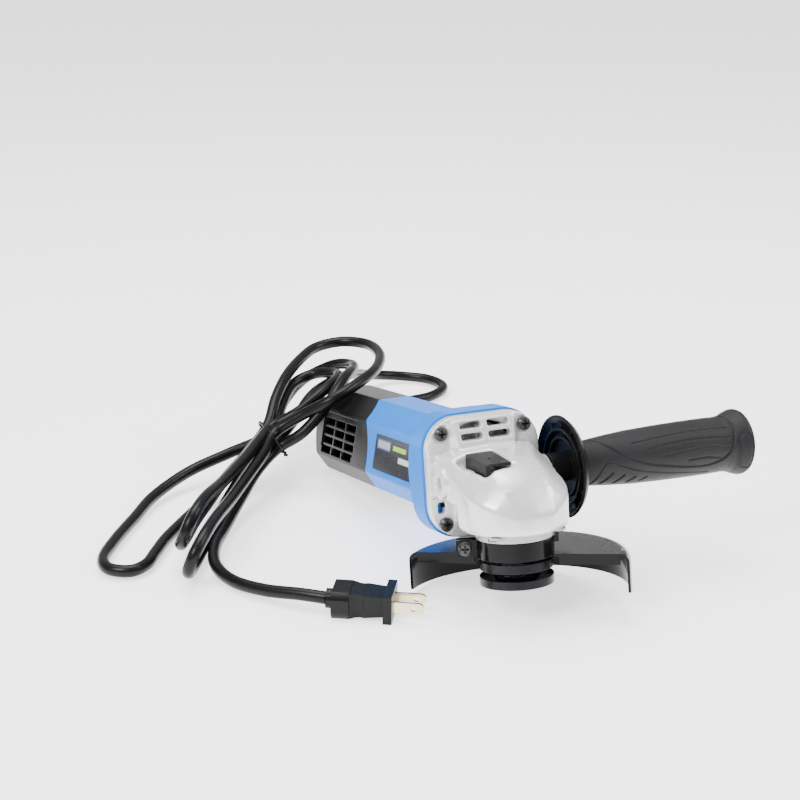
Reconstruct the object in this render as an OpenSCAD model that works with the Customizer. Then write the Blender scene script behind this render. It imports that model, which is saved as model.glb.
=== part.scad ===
// Corded angle grinder with side handle, wheel guard and tied mains lead.
// Row frame: origin at the centre of the wheel seat, +X towards the gear head, +Y the handle
// side, +Z up. The tool lies on its guard rim and its tail, so its own axes are tipped tail down.
// Tool frame (inside tool()): origin where the spindle and motor axes cross, Z along the spindle.

/* [Head] */
// Motor axis to wheel seat, along the spindle
seat_drop = 46.8; // [44:0.2:58]
// Radius of the round front of the gear case
head_r = 30.8; // [30:0.2:38]
// Half of the gear case flange's width and height
flange_half = 34.5; // [34:0.5:44]
// Corner radius of that flange
flange_corner = 19; // [8:1:24]
// Offset of the four flange screws from the motor axis
flange_screw_at = 25.8; // [25.6:0.2:31]
// Front face of the flange, behind the spindle axis
flange_face = 35; // [35:0.5:40]
// Thickness of the flange
flange_t = 6; // [5:0.5:9]
// Radius of the silver neck under the gear case
neck_r = 21.6; // [21:0.1:25]
// Radius of the collar that the guard clamps on
collar_r = 19.4; // [18.5:0.1:20.5]

/* [Spindle] */
// Radius of the threaded spindle
spindle_r = 7.9; // [6.9:0.1:7.9]
// Radius of the two clamping flanges
clamp_r = 20.4; // [18:0.1:21]
// Thickness of the inner flange
inner_flange_t = 4.9; // [4:0.1:7]
// Radius of the pilot that centres the wheel
pilot_r = 11.1; // [10:0.1:12.7]
// Length of the pilot
pilot_len = 2; // [1:0.1:2.4]
// Gap between the flanges at rest, where a wheel goes
wheel_gap = 4.2; // [3.5:0.1:6]
// Thickness of the flange nut's rim
nut_t = 4.6; // [4:0.1:8]
// Thread left bare below the nut
spindle_tip = 2.2; // [1:0.1:6]

/* [Gears] */
// Teeth on the pinion
pinion_teeth = 12; // [12:1:12]
// Teeth on the spindle gear
gear_teeth = 37; // [37:1:37]
// Pitch radius of the spindle gear
gear_r = 22.5; // [20:0.1:22.8]
// Length of the teeth along the cone
tooth_face = 6.5; // [5:0.1:7]

/* [Guard] */
// Outer radius of the guard
guard_r = 62.8; // [58:0.2:80]
// Height of the guard's rim below its plate's top
guard_depth = 21.6; // [16:0.2:26]
// Thickness of the guard's sheet
guard_t = 1.5; // [1.2:0.1:2.5]
// Angle that the guard covers
guard_cover = 176; // [150:1:180]
// How far the guard is turned from the tail towards the handle, at rest
guard_turn = 40; // [30:1:60]

/* [Body] */
// Radius that the barrel's facets are drawn on
barrel_r = 30; // [30:0.5:36]
// Wall of the barrel and the rear cover
wall = 2.6; // [2:0.1:3.4]
// Tail end of the rear cover, behind the spindle axis
tail_x = 250; // [244:1:300]
// Underside of the tail where it touches the bench, behind the spindle axis
tail_rest_x = 226; // [215:1:236]
// Half of the collar at the front of the motor housing
collar_half = 35.5; // [35:0.5:46]
// Depth of that collar
collar_depth = 17; // [14:1:24]

/* [Motor] */
// Radius of the armature's core
armature_r = 14.5; // [12:0.1:15]
// Length of the armature's core
armature_len = 38; // [30:1:44]
// Radius of the stator's core
stator_r = 25; // [23:0.1:25]
// Radius of the motor shaft between its bearings
shaft_r = 4; // [3.6:0.1:4.5]
// Radius of the cooling fan
fan_r = 28.5; // [24:0.5:29]
// Radius of the commutator
commutator_r = 10.5; // [9:0.1:11]

/* [Side handle] */
// Side handle's axis behind the spindle axis
handle_x = 23.9; // [22:0.1:25]
// Faces of the two handle bosses from the middle of the tool
handle_boss = 33.6; // [33:0.1:38]
// Radius of the handle's threaded holes
handle_hole_r = 4; // [3.5:0.1:5]
// Depth of those holes
handle_hole_depth = 11; // [9:0.5:12]
// Radius of the hand stop disc
disc_r = 29.5; // [26:0.5:34]
// Length of the handle from the boss face
handle_len = 129; // [110:1:150]
// Radius of the flared end
handle_end_r = 19.6; // [17:0.1:24]

/* [Controls] */
// Travel of the spindle lock
lock_travel = 2.5; // [2:0.1:2.5]
// Radius of the lock pin
lock_pin_r = 3; // [2.5:0.1:3]
// Travel of the power slide
slide_travel = 6; // [4:0.5:7]
// Length of the power slide's button
slide_len = 24; // [18:1:30]

/* [Lead] */
// Diameter of the mains lead
cord_d = 7.4; // [6.5:0.1:8.5]
// Length of the cord boot behind the tail
boot_len = 38; // [30:1:50]

/* [Fits] */
// Radial clearance of a running fit
run_gap = 0.05; // [0.02:0.01:0.08]
// Clearance between parts that move past each other
gap = 0.4; // [0.3:0.1:0.6]

/* [Hidden] */
$fn = 48;

// Heights along the spindle, all from the motor axis
case_floor = -24.5;
flange_top = -seat_drop + inner_flange_t;
plate_top = flange_top + 0.4 + guard_t;
collar_end = plate_top + 0.2;
neck_end = collar_end + 10.4;
nut_top = -seat_drop - wheel_gap;
spindle_end = nut_top - nut_t - spindle_tip;
rim_bottom = plate_top - guard_depth;

// Bearings: spindle 12 x 32 x 10, motor front 10 x 26 x 8, motor rear 7 x 19 x 6
spindle_brg = [6, 16, 10];
spindle_brg_top = collar_end + 2.6 + spindle_brg[2];
front_brg = [5, 13, 8];
front_brg_x = -26.5 - front_brg[2];
rear_brg = [3.5, 9.5, 6];
rear_brg_x = -139.5;

// Resting pose: the guard's rim and the tail both touch the bench
rest_r = barrel_r * 0.98;
tool_tilt = atan((-rim_bottom - rest_r) / (tail_rest_x - guard_r));
floor_z = -(guard_r * sin(tool_tilt) + (-rim_bottom - seat_drop) * cos(tool_tilt));

// Motor, from the head backwards
parting_x = -flange_face - flange_t;
fan_x = parting_x - 11;
core_x = -105;
case_r = barrel_r - 3.4;
cover_curve_r = 37;
cover_curve_x = -180;
cover_curve_z = -6;
panel_lean = -atan((1.07 - 0.84) / (0.65 + 0.36));
panel_at = barrel_r * (0.84 * cos(panel_lean) - 0.65 * sin(panel_lean));
slide_z = 5;
slide_x = -88;
cover_screw_r = 25.4;

// Bevel gears: both cones meet at the origin
pinion_r = gear_r * pinion_teeth / gear_teeth;
cone = atan(pinion_r / gear_r);
cone_len = norm([pinion_r, gear_r]);
gear_module = 2 * gear_r / gear_teeth;
addendum = 0.66 * gear_module;
dedendum = 0.9 * gear_module;
tooth_half = gear_module * 0.62;

// Lock
lock_at = [-5, -10.5];
button_x = [-19.8, 6.5];
button_y = [-18, -2];
button_top = 14;

// Handle

// Lead
cord_r = cord_d / 2;
cord_low = floor_z + cord_r;
plug_at = [-37, -98];
plug_turn = 60;
plug_mid = floor_z + 8;
blade_gap = 12.7;
// Route of the lead's centre from the boot to the plug, in the row frame
cord_route = [
    // behind the tail, out past the housing and back
    [-312, 2, -14], [-332, 16, -20], [-343, 42, -22], [-344, 72, -22], [-349, 100, -22], [-366, 118, -22],
    [-388, 115, -22], [-401, 96, -21], [-396, 72, -16], [-362, 46, -2], [-316, 16, 13], [-286, -6, 19],
    [-268, -24, 18], [-249, -43, 9], [-230, -64, 1],
    // left loop, nearest the plug
    [-222, -84, -10], [-199, -104, -18], [-173, -120, -22], [-147, -134, -22], [-124, -146, -22], [-105, -156, -21],
    [-92, -161, -15], [-89, -158, -4], [-98, -149, 3], [-117, -137, 4], [-146, -119, 2], [-176, -100, 2],
    [-206, -79, 5], [-226, -64, 11],
    // outer right loop, over the tail
    [-222, -47, 22], [-212, -27, 35], [-225, -2, 41], [-247, 16, 41], [-276, 29, 40], [-303, 31, 39],
    [-319, 18, 38], [-319, -1, 36], [-304, -18, 34], [-281, -37, 30], [-260, -52, 22], [-242, -64, 10],
    // middle left loop
    [-229, -83, -3], [-209, -103, -9], [-185, -121, -13], [-160, -137, -14], [-138, -149, -14],
    [-121, -157, -11], [-112, -157, -1], [-116, -150, 9], [-132, -138, 12], [-160, -119, 9], [-190, -97, 9],
    [-214, -80, 10], [-234, -64, 12],
    // inner right loop
    [-232, -46, 21], [-238, -28, 30], [-252, -12, 33], [-274, -4, 30], [-291, -13, 26], [-288, -30, 21],
    [-266, -46, 14], [-238, -64, 1],
    // outer left loop
    [-233, -86, -11], [-211, -112, -20], [-184, -136, -22], [-158, -156, -22], [-139, -168, -22],
    [-125, -177, -22], [-119, -188, -22], [-127, -199, -22], [-143, -198, -22], [-167, -185, -22], [-196, -166, -22],
    [-223, -146, -20], [-243, -118, -15], [-248, -90, -8], [-246, -64, 1],
    // middle right loop
    [-266, -50, 3], [-294, -34, 8], [-311, -14, 16], [-305, 5, 26], [-287, 12, 31], [-264, 5, 35],
    [-240, -10, 38], [-220, -29, 29], [-217, -48, 12], [-222, -64, 1],
    // out to the plug
    [-210, -82, -8], [-187, -101, -17], [-160, -119, -22], [-134, -133, -22], [-108, -140, -22],
    [-84, -137, -22], [-64, -125, -21], [-48, -110, -19]
];

module tool() {
    rotate([0, -tool_tilt, 0]) translate([0, 0, seat_drop]) children();
}
module rod_x(x0, x1, r) {
    translate([x0, 0, 0]) rotate([0, 90, 0]) cylinder(h = x1 - x0, r = r);
}
module cone_x(x0, x1, r0, r1) {
    translate([x0, 0, 0]) rotate([0, 90, 0]) cylinder(h = x1 - x0, r1 = r0, r2 = r1);
}
module tube_x(x0, x1, ro, ri) {
    difference() {
        rod_x(x0, x1, ro);
        rod_x(x0 - 1, x1 + 1, ri);
    }
}
module rod_y(y0, y1, r) {
    translate([0, y0, 0]) rotate([-90, 0, 0]) cylinder(h = y1 - y0, r = r);
}
module rod_z(z0, z1, r) {
    translate([0, 0, z0]) cylinder(h = z1 - z0, r = r);
}
module tube_z(z0, z1, ro, ri) {
    difference() {
        rod_z(z0, z1, ro);
        rod_z(z0 - 1, z1 + 1, ri);
    }
}
module box(x, y, z) {
    translate([x[0], y[0], z[0]]) cube([x[1] - x[0], y[1] - y[0], z[1] - z[0]]);
}
module lathe(points) {
    rotate_extrude() polygon(points);
}
module along_x(x0, x1) {
    translate([x0, 0, 0]) rotate([90, 0, 90]) linear_extrude(x1 - x0) children();
}
module four_corners(at) {
    for (y = [-at, at], z = [-at, at]) translate([0, y, z]) children();
}
// A Phillips pan-head screw along +X, seated at x = 0, with its shank going to -X
module pan_screw_x(head_r, head_h, shank_r, shank_len) {
    difference() {
        union() {
            rod_x(-shank_len, 0, shank_r);
            rod_x(0, head_h * 0.6, head_r);
            cone_x(head_h * 0.6, head_h, head_r, head_r * 0.7);
        }
        for (a = [0, 90]) rotate([a, 0, 0]) {
            box([head_h * 0.35, head_h + 1], [-head_r * 0.55, head_r * 0.55], [-0.45, 0.45]);
        }
    }
}
// Ball bearing rings about Z, from z = 0 up: dims = [bore radius, outer radius, width]
function ring_in(b) = b[0] + (b[1] - b[0]) * 0.3;
function ring_out(b) = b[0] + (b[1] - b[0]) * 0.68;
function ball_at(b) = (ring_in(b) + ring_out(b)) / 2;
function ball_r(b) = (ring_out(b) - ring_in(b)) * 0.5 + 0.5;
module bearing_outer(b) {
    difference() {
        tube_z(0, b[2], b[1], ring_out(b));
        translate([0, 0, b[2] / 2]) rotate_extrude() translate([ball_at(b), 0]) circle(r = ball_r(b) + 0.05);
    }
    for (k = [0:7]) rotate([0, 0, k * 45]) translate([ball_at(b), 0, b[2] / 2]) sphere(r = ball_r(b), $fn = 24);
}
module bearing_inner(b) {
    difference() {
        tube_z(0, b[2], ring_in(b), b[0]);
        translate([0, 0, b[2] / 2]) rotate_extrude() translate([ball_at(b), 0]) circle(r = ball_r(b) + 0.05);
    }
}
module on_motor_axis(x0) {
    translate([x0, 0, 0]) rotate([0, 90, 0]) children();
}
// One straight bevel tooth: a trapezoid that shrinks towards the shared apex
function tooth_point(a, h, t) = [a * cos(cone) + h * sin(cone), t, h * cos(cone) - a * sin(cone)];
function tooth_ring(a) = let(s = a / cone_len, w = tan(23))
    [tooth_point(a, -(dedendum + 0.2) * s, -(tooth_half + dedendum * w) * s),
     tooth_point(a, -(dedendum + 0.2) * s, (tooth_half + dedendum * w) * s),
     tooth_point(a, addendum * s, (tooth_half - addendum * w) * s),
     tooth_point(a, addendum * s, -(tooth_half - addendum * w) * s)];
module bevel_tooth() {
    polyhedron(concat(tooth_ring(cone_len - tooth_face), tooth_ring(cone_len)),
        [[0, 1, 2, 3], [7, 6, 5, 4], [4, 5, 1, 0], [5, 6, 2, 1], [6, 7, 3, 2], [7, 4, 0, 3]]);
}
function root_r(a) = a * cos(cone) - dedendum * a / cone_len * sin(cone);
function root_z(a) = -a * sin(cone) - dedendum * a / cone_len * cos(cone);

// Faceted outline of the barrel, seen from the head: y to the right, z up
function barrel_half(r) = [[0.35, 0.967], [0.84, 0.65], [1.07, -0.36], [0.8, -0.75], [0.3, -0.967]] * r;
module barrel_outline(r) {
    pts = barrel_half(r);
    other = [for (k = [4:-1:0]) [-pts[k][0], pts[k][1]]];
    offset(r = 3, $fn = 24) offset(delta = -3) polygon(concat(pts, other));
}
module rounded_square(half, corner) {
    offset(r = corner, $fn = 48) square(2 * (half - corner), center = true);
}

// Crown along the tool: distance from the spindle, half width and height of each row of corners
crown_rows = [[-32, 15, 14.6], [-12, 14.5, 12.4], [-2, 14, 11], [6, 13.5, 8.6], [13, 13, 4.4], [18.5, 12, -0.6],
    [22.6, 11, -6.2]];
function shoulder_z(x) = 6.5 - 17 * (x + 20) / 42;
module gear_head_blank() {
    c = head_r - 2.5;
    hull() {
        for (p = crown_rows) {
            for (m = [-1, 1]) translate([p[0], m * p[1], p[2]]) sphere(2.5, $fn = 16);
            translate([p[0], 0, p[2] + 0.7]) sphere(2.5, $fn = 16);
        }
        for (m = [-1, 1]) {
            for (x = [-32, -20]) translate([x, m * (head_r - 2.8), shoulder_z(x)]) sphere(2.5, $fn = 16);
            for (a = [44, 58, 74, 90]) rotate([0, 0, m * a]) translate([c, 0, shoulder_z(c * cos(a))]) sphere(2.5, $fn = 16);
            for (a = [0, 22, 44, 80, 105]) rotate([0, 0, m * a]) translate([c, 0, -14]) sphere(2.5, $fn = 16);
            translate([-32, m * (c - 1), -8]) sphere(2.5, $fn = 16);
        }
        rod_z(case_floor + 2, case_floor + 6, head_r - 0.6, $fn = 64);
        rod_z(case_floor, case_floor + 2, head_r - 2, $fn = 64);
    }
}
// Undercut beside the neck, behind the round head
module neck_pocket() {
    difference() {
        for (m = [-1, 1]) translate([0, m * 30, 0]) box([-flange_face, -8], [-10, 10], [case_floor - 1, -10]);
        rod_z(case_floor - 2, 0, head_r - 1.4, $fn = 64);
    }
}
module vent_hood() {
    hull() {
        box([-flange_face - 2, -flange_face], [-21, 21], [6, 33.5]);
        box([-33, -32.4], [-18.5, 18.5], [10, 32]);
        box([-30, -28.2], [-17, 17], [10, 18.5]);
    }
}
module gear_case() {
    color("silver") tool() difference() {
        union() {
            gear_head_blank();
            vent_hood();
            box([-flange_face - 1, -8], [-19, 19], [case_floor, 0]);
            along_x(parting_x, -flange_face + 1) rounded_square(flange_half, flange_corner);
            translate([-handle_x, 0, 0]) rod_y(-handle_boss, handle_boss, 8.5);
        }
        neck_pocket();
        // gear chamber, open below
        rod_z(case_floor - 1, -5.2, 25);
        rod_z(-6, -3.2, 20.5);
        // bush seat and pinion tunnel
        rod_z(-4, 5.6, 6);
        cone_x(-25.2, -9, 8.9, 6);
        rod_x(-27, -24, 9.8);
        rod_x(parting_x - 1, -26.5, front_brg[1]);
        // air chamber behind the flange and the slots in the hood
        difference() {
            rod_x(parting_x - 1, -flange_face - 1.5, 30);
            rod_x(parting_x - 2, -flange_face + 2, 16.5);
            four_corners(flange_screw_at) rod_x(parting_x - 2, -flange_face + 2, 5);
            box([parting_x - 2, -30], [-30, 30], [-4.5, 4.5]);
        }
        for (y = [-8.5, 8.5], z = [22.7, 29.1]) translate([-36, y, z]) {
            box([-2, 9], [-6.8, 6.8], [-1.9, 1.9]);
        }
        for (y = [-27.4, 27.4]) translate([-36, y, -16.5]) box([-6, 5], [-2.2, 2.2], [-3.2, 3.2]);
        // screw seats and clearance holes
        four_corners(flange_screw_at) {
            rod_x(parting_x - 1, -20, 2.3);
            rod_x(-flange_face, -flange_face + 12, 5.2);
        }
        // handle holes on both sides
        translate([-handle_x, 0, 0]) {
            rod_y(handle_boss - handle_hole_depth, handle_boss + 1, handle_hole_r);
            rod_y(-handle_boss - 1, -handle_boss + handle_hole_depth, handle_hole_r);
        }
        // pocket for the lock button, its skirt, spring and pin
        box([button_x[0] - gap, button_x[1] + gap], [button_y[0] - gap - 6, button_y[1] + gap], [8.4, 20]);
        box([button_x[0] - gap, button_x[1] + gap], [button_y[0] - gap, button_y[0] + 3.4], [-1.2, 20]);
        translate([lock_at[0], lock_at[1], 0]) {
            rod_z(2, 12, 4.9);
            rod_z(-8, 12, lock_pin_r + run_gap);
        }
        // holes for the bearing cover's screws
        for (a = [45:90:315]) rotate([0, 0, a]) translate([cover_screw_r, 0, 0]) rod_z(case_floor - 1, -8, 1.6);
    }
}
module gear_case_screws() {
    color("#222222") tool() four_corners(flange_screw_at) translate([-flange_face, 0, 0]) {
        pan_screw_x(4, 2.8, 2.1, flange_t + 12);
    }
}
module bearing_cover() {
    color("silver") tool() difference() {
        union() {
            intersection() {
                rod_z(case_floor, case_floor + 3, 24.9);
                box([-30, 30], [-30, 30], [-40, 0]);
            }
            for (a = [45:90:315]) rotate([0, 0, a]) translate([cover_screw_r, 0, 0]) {
                rod_z(case_floor - 1, case_floor, 4.2);
            }
            rod_z(neck_end, case_floor, neck_r);
            rod_z(collar_end, neck_end, collar_r);
        }
        rod_z(collar_end - 1, case_floor + 5, 12);
        rod_z(spindle_brg_top - spindle_brg[2], case_floor + 5, spindle_brg[1]);
        rod_z(collar_end - 1, collar_end + 2.0, 15.5);
        for (a = [45:90:315]) rotate([0, 0, a]) translate([cover_screw_r, 0, 0]) rod_z(-40, 0, 1.7);
        // small stamped window in the neck
        rotate([0, 0, -60]) translate([neck_r, 0, neck_end + 1.8]) cube([2, 6, 2], center = true);
    }
}
module bearing_cover_screws() {
    color("#555555") tool() for (a = [45:90:315]) rotate([0, 0, a]) {
        translate([cover_screw_r, 0, case_floor]) difference() {
            union() {
                rod_z(-1.6, -1, 2.9);
                rod_z(-1, 9, 1.5);
            }
            box([-1.8, 1.8], [-0.3, 0.3], [-2, -1.2]);
            box([-0.3, 0.3], [-1.8, 1.8], [-2, -1.2]);
        }
    }
}
module lock_button() {
    color("#2a2a2c") tool() difference() {
        union() {
            hull() {
                box([button_x[0], button_x[1] - 2], button_y, [button_top - 3, button_top - 2]);
                box([button_x[0], button_x[0] + 1], button_y, [button_top - 3, button_top + 1.4]);
                box([button_x[1] - 3, button_x[1] - 2], button_y, [button_top - 3, button_top - 1.4]);
            }
            hull() {
                box([button_x[0], button_x[0] + 4], [button_y[0], button_y[0] + 3], [3, button_top]);
                box([button_x[1] - 1, button_x[1]], [button_y[0], button_y[0] + 3], [1.5, button_top - 1.6]);
            }
            translate([lock_at[0], lock_at[1], 0]) rod_z(button_top - 4.2, button_top - 2, 3.6);
        }
        translate([lock_at[0], lock_at[1], 0]) rod_z(0, button_top - 2.2, lock_pin_r);
        translate([lock_at[0] - 1, lock_at[1] + 0.5, 0]) rod_z(button_top - 1.4, button_top + 5, 0.9);
    }
}
module lock_pin() {
    color("#8c8c90") tool() translate([lock_at[0], lock_at[1], 0]) rod_z(-7.6, button_top - 2.2, lock_pin_r);
}
module lock_spring() {
    color("#a0a0a4") tool() translate([lock_at[0], lock_at[1], 2.5]) {
        for (k = [0:4]) translate([0, 0, k * 1.6]) rotate_extrude() translate([3.95, 0]) circle(r = 0.45, $fn = 16);
        for (k = [0:3], a = [90 * k]) rotate([0, 0, a]) translate([3.95, 0, k * 1.6]) cylinder(h = 1.6, r = 0.4, $fn = 16);
    }
}
module spindle() {
    b = spindle_brg_top - spindle_brg[2];
    color("#6d6f73") tool() lathe([[0, spindle_end], [spindle_r - 1, spindle_end], [spindle_r, spindle_end + 1],
        [spindle_r, flange_top], [8.8, flange_top], [8.8, b - 0.4], [spindle_brg[0] + 1.6, b], [spindle_brg[0], b],
        [spindle_brg[0], -17.5], [5, -17.5], [5, -6.4], [4, -6.4], [4, 4.2], [3.4, 4.8], [0, 4.8]]);
}
module spindle_gear() {
    a0 = cone_len - tooth_face;
    color("#77797d") tool() union() {
        lathe([[5, -17.5], [5, -7], [8, -7], [8, -12.6], [root_r(a0) - 0.5, -12.6], [root_r(a0), root_z(a0)],
            [root_r(cone_len), root_z(cone_len)], [root_r(cone_len) - 1, root_z(cone_len) - 3.4], [17, -15], [9, -17.5]]);
        for (k = [0:gear_teeth - 1]) rotate([0, 0, 180 + k * 360 / gear_teeth]) bevel_tooth();
    }
}
module spindle_bearing() {
    color("#b9bcc2") tool() translate([0, 0, spindle_brg_top - spindle_brg[2]]) bearing_outer(spindle_brg);
}
module spindle_bearing_race() {
    color("#c8cbd0") tool() translate([0, 0, spindle_brg_top - spindle_brg[2]]) bearing_inner(spindle_brg);
}
module spindle_bush() {
    color("#b08d4a") tool() tube_z(-2.9, 5.6, 6, 4 + run_gap);
}
module felt_seal() {
    color("#4a4a44") tool() tube_z(collar_end + 0.2, collar_end + 1.9, 15.5, 9.2);
}
module inner_flange() {
    color("#3a3b3d") tool() difference() {
        union() {
            rod_z(-seat_drop, flange_top, clamp_r);
            rod_z(-seat_drop - pilot_len, -seat_drop, pilot_r);
        }
        rod_z(-seat_drop - pilot_len - 1, flange_top + 1, spindle_r + 0.03);
        for (m = [-1, 1]) translate([m * 15.5, 0, 0]) box([-2, 2], [-3, 3], [flange_top - 1.2, flange_top + 1]);
    }
}
module flange_nut() {
    color("#3a3b3d") tool() difference() {
        union() {
            rod_z(nut_top - nut_t, nut_top, clamp_r + 0.2);
            rod_z(nut_top, nut_top + 1.2, pilot_r + 1.5);
        }
        rod_z(nut_top - nut_t - 1, nut_top + 3, spindle_r + run_gap);
        rod_z(nut_top - 0.2, nut_top + 3, pilot_r + 0.4);
        for (a = [45:90:315]) rotate([0, 0, a]) translate([15, 0, 0]) rod_z(nut_top - nut_t - 1, nut_top - 1.6, 2.4);
    }
}
module guard_sector() {
    rotate([0, 0, 180 - guard_turn - guard_cover / 2]) rotate_extrude(angle = guard_cover) children();
}
module guard() {
    bend = 5;
    color("#0d0d0f") tool() {
        guard_sector() difference() {
            union() {
                translate([20, plate_top - guard_t]) square([guard_r - bend - 20, guard_t]);
                translate([guard_r - guard_t, rim_bottom]) square([guard_t, guard_depth - bend]);
                intersection() {
                    translate([guard_r - bend, plate_top - bend]) circle(r = bend, $fn = 40);
                    translate([guard_r - bend, plate_top - bend]) square(bend);
                }
            }
            translate([guard_r - bend, plate_top - bend]) circle(r = bend - guard_t, $fn = 40);
        }
        // turned-down lips along the two straight edges
        for (m = [-1, 1]) rotate([0, 0, 180 - guard_turn + m * guard_cover / 2]) {
            box([24, guard_r - 5.2], [m > 0 ? -guard_t : 0, m > 0 ? 0 : guard_t], [plate_top - 6, plate_top - 0.2]);
        }
    }
}
ear_az = 180 - guard_turn + 105;
module guard_band() {
    color("#0d0d0f") tool() difference() {
        union() {
            difference() {
                tube_z(plate_top, neck_end - 0.3, collar_r + 2, collar_r + 0.1);
                rotate([0, 0, ear_az]) box([0, 40], [-1.6, 1.6], [plate_top - 1, neck_end + 1]);
            }
            for (m = [-1, 1]) rotate([0, 0, ear_az]) {
                box([collar_r + 0.6, collar_r + 13], [m > 0 ? 1.6 : -3.4, m > 0 ? 3.4 : -1.6], [plate_top + 0.6, neck_end - 0.6]);
            }
            // upright tab beside the neck, clear of the case floor
            rotate([0, 0, 64]) {
                box([collar_r + 0.6, collar_r + 2], [-3, 3], [plate_top + 2, plate_top + 9]);
                box([neck_r + 0.6, neck_r + 2.4], [-3, 3], [neck_end - 4, case_floor - 2]);
                box([collar_r + 0.6, neck_r + 2.4], [-3, 3], [neck_end - 4, neck_end - 1.2]);
            }
        }
        rotate([0, 0, ear_az]) translate([collar_r + 8, 0, (plate_top + neck_end) / 2]) rod_y(-8, 8, 2.1);
    }
}
module guard_clamp_screw() {
    color("#1c1c1e") tool() rotate([0, 0, ear_az]) translate([collar_r + 8, 3.4, (plate_top + neck_end) / 2]) {
        rotate([0, 0, 90]) pan_screw_x(4, 2.6, 2.0, 13);
    }
}
module guard_clamp_nut() {
    color("#8c8c90") tool() rotate([0, 0, ear_az]) translate([collar_r + 8, 0, (plate_top + neck_end) / 2]) {
        difference() {
            translate([0, -6.6, 0]) rotate([-90, 0, 0]) cylinder(h = 3.2, r = 4.2, $fn = 6);
            rod_y(-8, 0, 2.02);
        }
    }
}
module pinion() {
    a0 = cone_len - tooth_face;
    // the pinion's cone lies along -X, so its profile is drawn with the axes swapped
    color("#77797d") tool() difference() {
        union() {
            rotate([0, -90, 0]) lathe([[0, a0 * cos(cone) * 0.98],
                [a0 * sin(cone) - dedendum * a0 / cone_len * cos(cone), a0 * cos(cone)],
                [cone_len * sin(cone) - dedendum * cos(cone), cone_len * cos(cone) + dedendum * sin(cone)],
                [5.6, cone_len * cos(cone) + 1.6], [5.6, 26.2], [0, 26.2]]);
            for (k = [0:pinion_teeth - 1]) rotate([(k + 0.5) * 360 / pinion_teeth, 0, 0]) pinion_tooth();
        }
        rod_x(-30, -5, 3);
    }
}
// The same tooth laid on the pinion's cone, pointing to -Z at rest
function pinion_point(a, h, t) = [-a * cos(cone) + h * sin(cone), t, -a * sin(cone) - h * cos(cone)];
function pinion_ring(a) = let(s = a / cone_len, w = tan(23))
    [pinion_point(a, -(dedendum + 0.2) * s, -(tooth_half + dedendum * w * 0.55) * s),
     pinion_point(a, -(dedendum + 0.2) * s, (tooth_half + dedendum * w * 0.55) * s),
     pinion_point(a, addendum * s, (tooth_half - addendum * w * 1.25) * s),
     pinion_point(a, addendum * s, -(tooth_half - addendum * w * 1.25) * s)];
module pinion_tooth() {
    polyhedron(concat(pinion_ring(cone_len - tooth_face), pinion_ring(cone_len)),
        [[0, 1, 2, 3], [7, 6, 5, 4], [4, 5, 1, 0], [5, 6, 2, 1], [6, 7, 3, 2], [7, 4, 0, 3]]);
}
module pinion_nut() {
    color("#8c8c90") tool() translate([-(cone_len - tooth_face) * cos(cone) * 0.98, 0, 0]) rotate([0, 90, 0]) difference() {
        cylinder(h = 3.6, r = 4.6, $fn = 6);
        translate([0, 0, -1]) cylinder(h = 6, r = 3);
    }
}
module armature_shaft() {
    color("#9a9ca0") tool() union() {
        rod_x(-26.2, -(cone_len - tooth_face) * cos(cone) * 0.98 + 4.2, 3);
        rod_x(front_brg_x, -26.2, front_brg[0]);
        rod_x(-132.5, front_brg_x, shaft_r);
        rod_x(rear_brg_x - 0.6, -132.5, rear_brg[0]);
    }
}
module armature_core() {
    color("#6b6b6e") tool() difference() {
        rod_x(core_x, core_x + armature_len, armature_r);
        rod_x(core_x - 1, core_x + armature_len + 1, shaft_r);
        for (k = [0:11]) rotate([k * 30, 0, 0]) {
            box([core_x - 1, core_x + armature_len + 1], [-0.9, 0.9], [armature_r - 4, armature_r + 1]);
        }
    }
}
module armature_winding() {
    color("#b5652a") tool() for (x = [core_x - 8, core_x + armature_len]) translate([x, 0, 0]) {
        rotate([0, 90, 0]) lathe([[shaft_r, 0], [11.5, 0], [13.2, 2], [13.2, 6], [11.5, 8], [shaft_r, 8]]);
    }
}
module commutator() {
    color("#c07a3c") tool() difference() {
        tube_x(core_x - 23, core_x - 11, commutator_r, shaft_r);
        for (k = [0:23]) rotate([k * 15, 0, 0]) {
            box([core_x - 24, core_x - 12.5], [-0.25, 0.25], [commutator_r - 0.7, commutator_r + 1]);
        }
    }
}
module fan() {
    color("#2d2d30") tool() union() {
        tube_x(fan_x, fan_x + 10, 7.5, shaft_r);
        tube_x(fan_x, fan_x + 1.8, fan_r, 7);
        for (k = [0:14]) rotate([k * 24, 0, 0]) {
            translate([fan_x + 1.5, -0.8, 8]) rotate([0, 0, 0]) cube([7.5, 1.6, fan_r - 9]);
        }
        tube_x(fan_x + 1, fan_x + 4, fan_r, fan_r - 1.6);
    }
}
module front_bearing() {
    color("#b9bcc2") tool() on_motor_axis(front_brg_x) bearing_outer(front_brg);
}
module front_bearing_race() {
    color("#c8cbd0") tool() on_motor_axis(front_brg_x) bearing_inner(front_brg);
}
module rear_bearing() {
    color("#b9bcc2") tool() on_motor_axis(rear_brg_x) bearing_outer(rear_brg);
}
module rear_bearing_race() {
    color("#c8cbd0") tool() on_motor_axis(rear_brg_x) bearing_inner(rear_brg);
}
module bearing_boot() {
    color("#1f1f1f") tool() tube_x(rear_brg_x, rear_brg_x + rear_brg[2], rear_brg[1] + 1.5, rear_brg[1]);
}
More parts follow.
